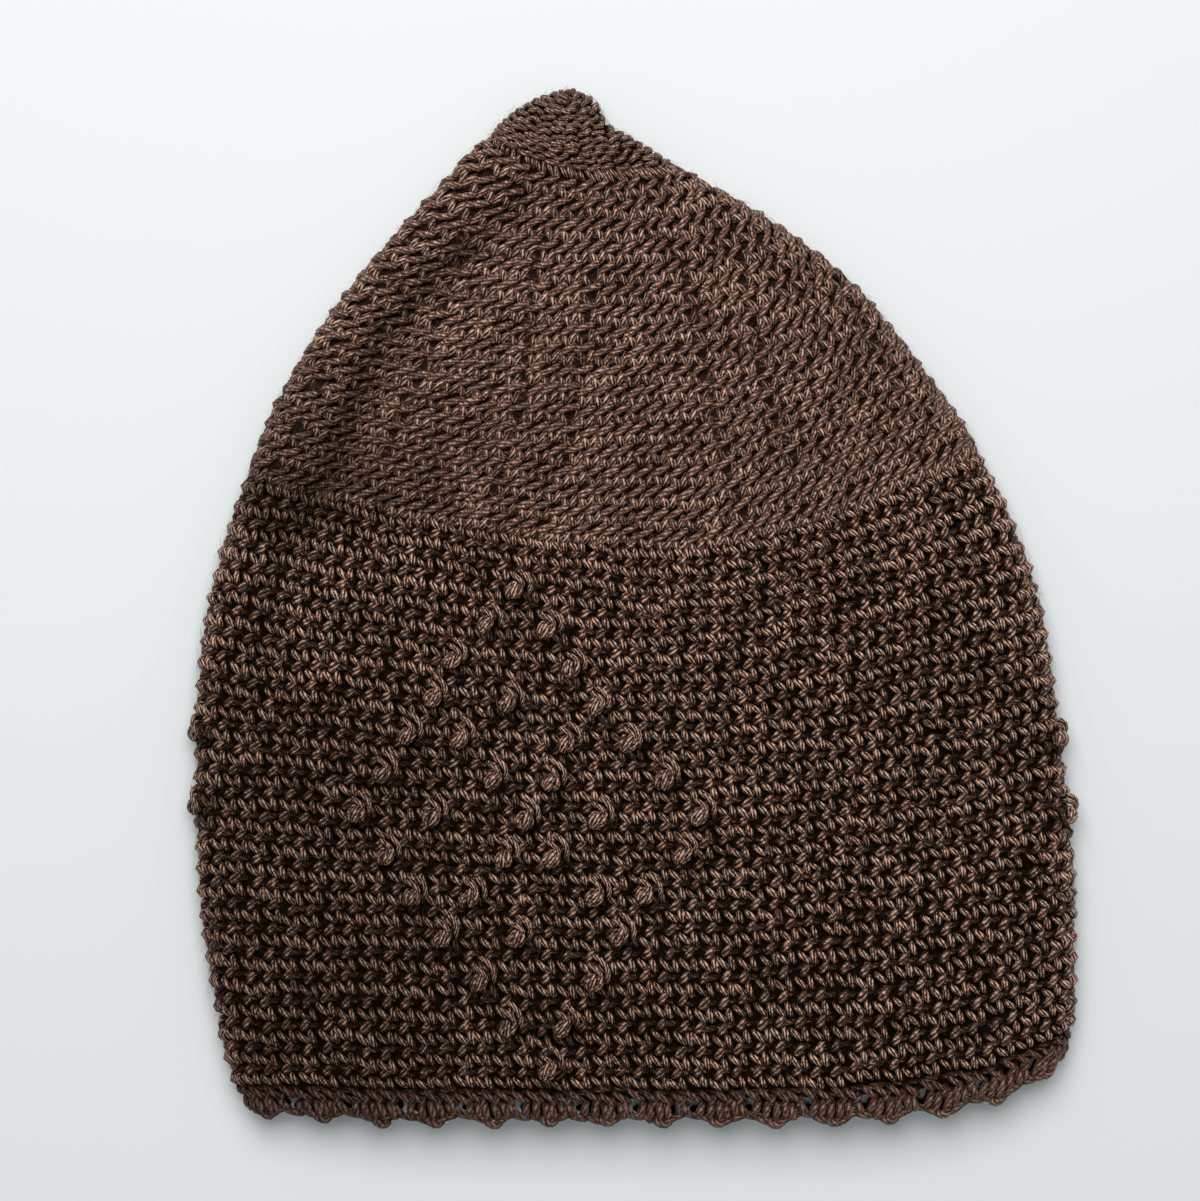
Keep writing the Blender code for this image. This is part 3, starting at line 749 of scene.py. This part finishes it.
def shade_at(way, turn, centre):
    """Share of light that reaches yarn: less in the crease of the roll and at the dark places.

    1 - 0.62 hollow in the crease, and 1 - depth exp(-(d / reach)^4) at a distance d from a place.
    """
    light = 1 - 0.62 * LIE.read(LIE.hollow, way, turn)[..., 0]
    for x, y, reach, depth in DARK_PLACES:
        d = ((centre[..., 0] - x) ** 2 + (centre[..., 1] - y) ** 2) / reach ** 2
        light *= 1 - depth * np.exp(-d * d) * (centre[..., 2] > LOW_YARN)
    return light


def wall_way(r):
    """Way of a place in the wall counted in rounds."""
    return 1.0 + r / WALL_ROUNDS


def crown_way(r):
    """Way of a place in the crown counted in rounds from the tip."""
    return r / CROWN_ROUNDS


def stitches_at(way, width):
    """Number of stitches of a width that go round at a way, at least 5."""
    return max(5, round(float(LIE.length_round(way)) / width))


# Sizes and colours to change


class CapLooks(bpy.types.PropertyGroup):
    """Sizes and colours of the cap's yarn."""
    yarn_light: bpy.props.StringProperty(
        name="Yarn light", description="Hex colour of the lit plies", default="#f1c5a9")
    yarn_middle: bpy.props.StringProperty(
        name="Yarn middle", description="Hex colour of the plies in half light", default="#6b4635")
    # yarn_dark is painted shade: the colour between the plies and of yarn that little light reaches.
    yarn_dark: bpy.props.StringProperty(
        name="Yarn dark", description="Hex colour between the plies", default="#140703")
    crown_middle: bpy.props.StringProperty(
        name="Crown middle", description="Hex colour of the crown's plies in half light", default="#7d5745")
    # crown_dark is painted shade: the colour between the crown's plies and of yarn that little light reaches.
    crown_dark: bpy.props.StringProperty(
        name="Crown dark", description="Hex colour between the crown's plies", default="#20120b")
    # The edging's lit plies are set far darker than the wall's: painted shade on the edge.
    edging_light_in_shade: bpy.props.StringProperty(
        name="Edging light", description="Hex colour of the edging's lit plies", default="#9c7663")
    edging_middle: bpy.props.StringProperty(
        name="Edging middle", description="Hex colour of the edging's plies in half light", default="#684334")
    fibres: bpy.props.IntProperty(
        name="Loose fibres", description="Number of loose fibres", default=2400, min=1)
    fibre_width: bpy.props.FloatProperty(
        name="Fibre width", description="Thickness of a loose fibre", default=0.00005, min=0.00002,
        unit="LENGTH", subtype="DISTANCE")


class CAP_OT_wall(bpy.types.Operator):
    """Lay the plain rounds of the wall in three bands"""
    bl_idname = "cap.wall"
    bl_label = "Wall rounds"

    def execute(self, context):
        looks = context.scene.cap_looks
        yarn = spun_yarn("wall yarn, mercerised, painted highlights and shade", looks.yarn_light, looks.yarn_middle, looks.yarn_dark)
        third = WALL_ROUNDS // 3
        for band, name in enumerate(("wall_rounds_upper", "wall_rounds_middle", "wall_rounds_lower")):
            skein = Skein(name)
            first = third * band
            rounds = (range(first, first + third), wall_way, lambda r: WALL_STITCHES,
                      lambda r: WALL_SHIFT * r)
            lay_rounds(skein, WALL_STITCH, *rounds, 11 + first, bulge=0.42)
            lay_rounds(skein, WALL_FILLING, *rounds, 12 + first, path_points=4)
            skein.finish(yarn)
        return {"FINISHED"}


class CAP_OT_bobbles(bpy.types.Operator):
    """Work the raised bobbles: three strands bulge side by side into a knot, three loops hood it"""
    bl_idname = "cap.bobbles"
    bl_label = "Bobbles"

    def execute(self, context):
        looks = context.scene.cap_looks
        yarn = spun_yarn("bobble yarn, mercerised, painted highlights and shade", looks.yarn_light, looks.yarn_middle, looks.yarn_dark)
        skein = Skein("bobbles", sides=6)
        ways, turns = bobble_places()
        dice = np.random.default_rng(5)
        point, across, down, out = places_on(ways, turns)
        seat = np.where(turns == RIGHT_TURN, 0.0003, -0.0002)[:, None]
        places = (point + out * seat, across, down, out)
        n = len(ways)
        # The knot's strands run down an ellipsoid of 1.75, 1.85 and 2.3 mm, 54 degrees apart.
        lat = np.radians(np.linspace(-78, 78, 8))[None, :]
        for m, tone in ((-1.0, 0.45), (0.0, 0.75), (1.0, 0.55)):
            lon = np.radians(m * 54 + dice.normal(0, 6, (n, 1)))
            size = 1 + dice.normal(0, 0.08, (n, 1))
            lean = 0.5 + dice.normal(0, 0.4, (n, 1))
            a = 1.75 * size * np.sin(lon) * np.cos(lat) + lean * np.sin(-lat) - 0.8
            b = 1.85 * size * np.sin(lat) + 0.8
            c = 2.3 * size * np.cos(lon) * np.cos(lat) - 0.3
            lay_local(skein, places, np.stack([a, b, c], -1), 0.96, tone * dice.uniform(0.7, 1.1, n), 0.5)
        stretch = 0.85 + 0.35 * np.clip(ways - 1.2, 0, 1) / 0.8 + dice.uniform(-0.12, 0.12, n)
        stretch = stretch[:, None, None]
        # Then the loops: four knots in millimetres from the bobble's place, radius and tone.
        # Their tones are painted light and shade: light on the hood over the top, dark on the loop low on the
        # left, where shade falls.
        for start, crest, side, end, width, tone in (
                ((-0.8, -4.8, -1.2), (1.2, -4.0, 1.1), (2.8, -1.6, 1.4), (2.4, 1.8, -0.5), 0.74, 1.1),
                ((-2.2, -3.6, -1.2), (-1.0, -3.0, 0.9), (0.6, -1.7, 1.4), (1.0, -0.3, 0.8), 0.68, 0.9),
                ((-2.8, -0.6, -1.2), (-2.9, 0.8, -0.5), (-2.4, 2.2, -0.4), (-0.8, 3.2, -1.2), 0.66, 0.3)):
            path = curve_through([start, crest, side, end], 7)[None] + dice.normal(0, 0.18, (n, 1, 3))
            path *= np.where(path[..., 1:2] < 0, stretch, 1) ** np.array([0, 1, 0])
            lay_local(skein, places, path, width, dice.uniform(0.8, 1.1, n) * tone, 2.5)
        skein.finish(yarn)
        return {"FINISHED"}


# The scalloped edge: the way of its middle, ways in a millimetre, and where a fan's middle lies in
# its scallop.  Ribs of a fan are (share across, top, foot) and its rim's strands are (share across
# from, to, millimetres down from, to).
EDGE_WAY = 2.04
WAY_PER_MM = 0.0107
FAN_MIDDLE = 0.08
FAN_RIBS = ((-0.35, 2.2, 5.9), (-0.18, 2.2, 6.8), (0.00, 2.3, 7.3), (0.17, 2.2, 6.8), (0.33, 2.2, 6.0),
            (0.50, 2.4, 5.4))
FAN_RIM = ((-0.60, -0.28, 5.0, 5.9), (-0.34, -0.06, 5.6, 6.9), (0.46, 0.20, 5.0, 6.2), (0.30, 0.06, 5.8, 7.2))


class CAP_OT_edging(bpy.types.Operator):
    """Work the scalloped edge: a band of loops, then a fan of ribs with its rim and picot each time"""
    bl_idname = "cap.edging"
    bl_label = "Picot edging"

    def execute(self, context):
        looks = context.scene.cap_looks
        # The edging's darker colours are painted shade on the edge.
        yarn = spun_yarn("edging yarn, mercerised, painted highlights and shade", looks.edging_light_in_shade, looks.edging_middle, looks.yarn_dark)
        skein = Skein("picot_edging_yarn")
        dice = np.random.default_rng(8)
        n = 2 * SCALLOPS
        mid = (np.arange(n) + 0.5) / n
        front = mid < 0.5
        across = LIE.read(LIE.points, np.full(n, EDGE_WAY), mid)[:, 0]
        behind = np.linspace(1.0, 0.5, 400)
        back = LIE.read(LIE.points, np.full(400, EDGE_WAY), behind)[:, 0]
        mid[~front] = np.interp(across[front], back, behind)
        hand = np.where(front, 1.0, -1.0)[:, None]

        def strand(knots, radius, tone, narrow=0.8):
            """Lay a strand in every scallop: knots of share across, millimetres below the wall, lift.

            The fans of the back are drawn together towards FAN_MIDDLE, so that the floor shows in
            the gaps of the front.
            """
            path = curve_through(knots, 8)
            wobble = dice.normal(0, 1, (n, 3))
            spread = (path[None, :, 0] - FAN_MIDDLE) * np.where(front, 1, narrow)[:, None]
            across = hand * (FAN_MIDDLE + spread + 0.02 * wobble[:, :1]) / n
            way = 2.0 + (path[None, :, 1] + 0.25 * wobble[:, 1:2]) * WAY_PER_MM
            lift = (path[None, :, 2] + 0.1 * wobble[:, 2:3]) / 1000
            centre, out = LIE.at(way, mid[:, None] + across, lift)
            skein.lay(centre, out, radius / 1000 * thin_ends(8, 0.7), dice.uniform(0.6, 1.1, n) * tone,
                      lift * 1000)

        for k in range(4):
            a = -0.5 + k / 4
            strand(((a - 0.04, -0.3, -1.5), (a + 0.03, 0.3, -0.7), (a + 0.12, 1.1, -0.2),
                    (a + 0.20, 1.8, -0.7), (a + 0.24, 2.2, -1.5)), 0.90, 0.6, 1.0)
            if k:
                strand(((a + 0.20, 0.8, -1.5), (a + 0.21, 1.4, -0.8), (a + 0.18, 2.2, -0.4),
                        (a + 0.14, 3.0, -0.8), (a + 0.12, 3.5, -1.5)), 0.95, 0.4)
        for a, top, foot in FAN_RIBS:
            b, span = 0.80 * a + 0.02, foot - top
            strand(((b, top, -1.5), (b + 0.2 * (a - b), top + 0.2 * span, -0.5),
                    (b + 0.6 * (a - b), top + 0.55 * span, 0.0), (a, top + 0.88 * span, -0.4),
                    (a, foot, -1.3)), 1.10, 0.35)
        for a, c, low, high in FAN_RIM:
            strand(((a, low, -1.4), (a + 0.2 * (c - a), low + 0.3, -0.8),
                    (0.5 * (a + c), 0.5 * (low + high) + 0.2, -0.3), (c - 0.2 * (c - a), high, -0.6),
                    (c, high + 0.2, -1.4)), 0.95, 0.4)
        strand(((-0.09, 6.0, -1.2), (-0.10, 7.0, -0.4), (0.02, 7.9, 0.0), (0.13, 7.0, -0.4),
                (0.12, 6.1, -1.2)), 1.00, 0.5)
        skein.finish(yarn)
        return {"FINISHED"}


class CAP_OT_tip(bpy.types.Operator):
    """Work the small folded tip: close rows of short strands, then a round of long legs"""
    bl_idname = "cap.tip"
    bl_label = "Tip"

    def execute(self, context):
        looks = context.scene.cap_looks
        yarn = spun_yarn("tip yarn, mercerised, painted highlights and shade", looks.yarn_light, looks.crown_middle, looks.crown_dark,
                         CROWN_TWIST)
        skein = Skein("tip_rounds")
        first, pitch = 0.004, 0.0172
        lay_rounds(skein, TIP_STITCH, range(12), lambda r: np.maximum(first + pitch * r, 0.006),
                   lambda r: stitches_at(first + pitch * r, TIP_STITCH_WIDTH), lambda r: 0.46 * r, 71)
        lay_rounds(skein, NECK_STITCH, (0,), lambda r: 0.196 + 0.034 * r,
                   lambda r: stitches_at(0.23, TIP_STITCH_WIDTH), lambda r: 0.0, 73)
        skein.finish(yarn)
        return {"FINISHED"}


class CAP_OT_crown(bpy.types.Operator):
    """Lay the back-loop rounds of the crown in two bands"""
    bl_idname = "cap.crown"
    bl_label = "Crown rounds"

    def execute(self, context):
        looks = context.scene.cap_looks
        yarn = spun_yarn("crown yarn, mercerised, painted highlights and shade", looks.yarn_light, looks.crown_middle, looks.crown_dark,
                         CROWN_TWIST)
        holes = increase_holes()
        for name, first, after in (("crown_rounds_upper", 5, 15), ("crown_rounds_lower", 15, CROWN_ROUNDS)):
            skein = Skein(name)
            lay_rounds(skein, CROWN_STITCH, range(first, after), crown_way,
                       lambda r: stitches_at(crown_way(r + 0.5), CROWN_STITCH_WIDTH),
                       lambda r: CROWN_SHIFT * r, 31 + first, holes=holes, bulge=0.15)
            skein.finish(yarn)
        return {"FINISHED"}


SHELL_TURNS = 360
SINK = 0.0013
OFF_FLOOR = 0.0006      # least height of the fabric's inside and of loose fibres


def shell(name, first, last, steps, open_top):
    """Closed body from the face sunk by SINK, under the stitches, to the face sunk by FABRIC.

    Its rings run down the outer face and back up the inner one.  With an open top the last ring
    joins the first; otherwise one face shuts each end.
    """
    turns = np.arange(SHELL_TURNS) / SHELL_TURNS
    way, turn = np.meshgrid(np.linspace(first, last, steps), turns, indexing="ij")
    outer = LIE.at(way, turn, -SINK)[0]
    inner = LIE.at(way, turn, -FABRIC)[0]
    outer[..., 2] = np.maximum(outer[..., 2], OFF_FLOOR)
    rings = np.concatenate([outer, inner[::-1]])
    m, n = rings.shape[:2]
    i = np.arange(m if open_top else m - 1)[:, None]
    a = np.arange(n)[None, :]
    b = (a + 1) % n
    k = (i + 1) % m
    faces = [np.stack([i * n + a, k * n + a, k * n + b, i * n + b], -1).reshape(-1, 4)]
    if not open_top:
        faces += [a, (m - 1) * n + a[:, ::-1]]
    return put_mesh(name, rings.reshape(-1, 3), faces)


class CAP_OT_backing(bpy.types.Operator):
    """Make the inside of the fabric, which shows between the stitches and through the mouth"""
    bl_idname = "cap.backing"
    bl_label = "Inside of the fabric"

    def execute(self, context):
        inside = inner_fabric("wrong side of the crochet", "#1f130e", "#0b0603")
        wall = shell("wall_inside", 1.0, 2.0, 60, True)
        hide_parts("side_wall")
        crown = shell("crown_inside", 0.03, 1.0, 60, False)
        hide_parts("crown")
        edge = shell("edging_inside", 2.0, 2.014, 4, True)
        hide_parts("picot_edging")
        crown_inside = inner_fabric("wrong side of the crown", "#35241c", "#170e0a")
        for piece, slot, fabric in ((wall, "wall_yarn", inside), (crown, "crown_yarn", crown_inside),
                                    (edge, "edging_yarn", inside)):
            piece.data.materials.append(fabric)
            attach(piece, "root")
        return {"FINISHED"}


FIBRE_STEP = 0.0011     # metres
METRES_A_WAY = 0.11     # length down the cap of one way


class CAP_OT_fuzz(bpy.types.Operator):
    """Scatter the fine loose fibres that stand off the yarn"""
    bl_idname = "cap.fuzz"
    bl_label = "Fuzz"

    def execute(self, context):
        looks = context.scene.cap_looks
        dice = np.random.default_rng(21)
        n = looks.fibres
        way = dice.uniform(0.01, 2.03, n) ** 0.9
        turn = dice.uniform(0.0, 0.5, n)
        near = dice.uniform(0, 1, n) < 0.25
        side = np.where(dice.uniform(0, 1, near.sum()) < 0.5, 0.005, 0.495)
        turn[near] = side + dice.normal(0, 0.008, near.sum())
        # A fibre has three steps of about FIBRE_STEP, most of each in the same direction.
        step = dice.normal(0, 1, (n, 1, 2)) + dice.normal(0, 0.5, (n, 3, 2))
        step = FIBRE_STEP * np.concatenate([np.zeros((n, 1, 2)), np.cumsum(step, axis=1)], axis=1)
        around = LIE.length_round(way)[:, None]
        lift = np.linspace(0.0002, 0.0012, 4)[None, :] * dice.uniform(0.3, 1.6, (n, 1))
        down, across = step[..., 0] / METRES_A_WAY, step[..., 1] / around
        centre, out = LIE.at(way[:, None] + down, turn[:, None] + across, lift)
        centre[..., 2] = np.maximum(centre[..., 2], OFF_FLOOR)
        skein = Skein("loose_fibres", sides=3)
        skein.lay(centre, out, looks.fibre_width / 2, dice.uniform(0.3, 0.9, n), np.full((n, 4), 0.3))
        yarn = spun_yarn("loose fibre, mercerised, painted highlights and shade", looks.yarn_light, looks.yarn_middle, looks.yarn_dark)
        skein.finish(yarn)
        return {"FINISHED"}


class CAP_OT_stage(bpy.types.Operator):
    """Make the floor, the lights and the camera"""
    bl_idname = "cap.stage"
    bl_label = "Stage"

    def execute(self, context):
        scene = context.scene
        mesh = bpy.data.meshes.new("floor")
        mesh.from_pydata([(-3, -3, 0), (3, -3, 0), (3, 3, 0), (-3, 3, 0)], [], [(0, 1, 2, 3)])
        mesh.materials.append(matt_floor("pale tabletop"))
        floor = bpy.data.objects.new("floor", mesh)
        scene.collection.objects.link(floor)
        world = bpy.data.worlds.new("soft room")
        world.use_nodes = True
        air = world.node_tree.nodes["Background"]
        air.inputs["Color"].default_value = hex_colour("#eef3f6")
        air.inputs["Strength"].default_value = 0.34
        scene.world = world
        light = bpy.data.lights.new("softbox", "AREA")
        light.shape = "SQUARE"
        light.size = 0.9
        light.energy = 10.9
        lamp = bpy.data.objects.new("softbox", light)
        lamp.location = (-0.06, 0.52, 1.00)
        lamp.rotation_euler = (-lamp.location).to_track_quat("-Z", "Y").to_euler()
        scene.collection.objects.link(lamp)
        camera = bpy.data.cameras.new("camera")
        camera.sensor_width = 36.0
        distance, sharp_height = 0.90, 0.012
        camera.lens = camera.sensor_width * distance / (PHOTO_DOTS * PIXEL)
        eye = bpy.data.objects.new("camera", camera)
        eye.location = (*photo_place(*PHOTO_MIDDLE), distance + sharp_height)
        scene.collection.objects.link(eye)
        scene.camera = eye
        scene.view_settings.view_transform = "Standard"
        return {"FINISHED"}


class CAP_PT_panel(bpy.types.Panel):
    """The cap's pieces in the sidebar"""
    bl_label = "Prayer Cap"
    bl_idname = "CAP_PT_panel"
    bl_space_type = "VIEW_3D"
    bl_region_type = "UI"
    bl_category = "Prayer Cap"

    def draw(self, context):
        for name in CapLooks.__annotations__:
            self.layout.prop(context.scene.cap_looks, name)
        for step in STEPS:
            self.layout.operator(step.bl_idname)


STEPS = (CAP_OT_backing, CAP_OT_tip, CAP_OT_crown, CAP_OT_wall, CAP_OT_bobbles, CAP_OT_edging, CAP_OT_fuzz,
         CAP_OT_stage)


def register():
    for item in (CapLooks, *STEPS, CAP_PT_panel):
        bpy.utils.register_class(item)
    bpy.types.Scene.cap_looks = bpy.props.PointerProperty(type=CapLooks)


def unregister():
    del bpy.types.Scene.cap_looks
    for item in reversed((CapLooks, *STEPS, CAP_PT_panel)):
        bpy.utils.unregister_class(item)


def main():
    register()
    bpy.ops.cap.backing()
    bpy.ops.cap.tip()
    bpy.ops.cap.crown()
    bpy.ops.cap.wall()
    bpy.ops.cap.bobbles()
    bpy.ops.cap.edging()
    bpy.ops.cap.fuzz()
    bpy.ops.cap.stage()


if __name__ == "__main__":
    main()
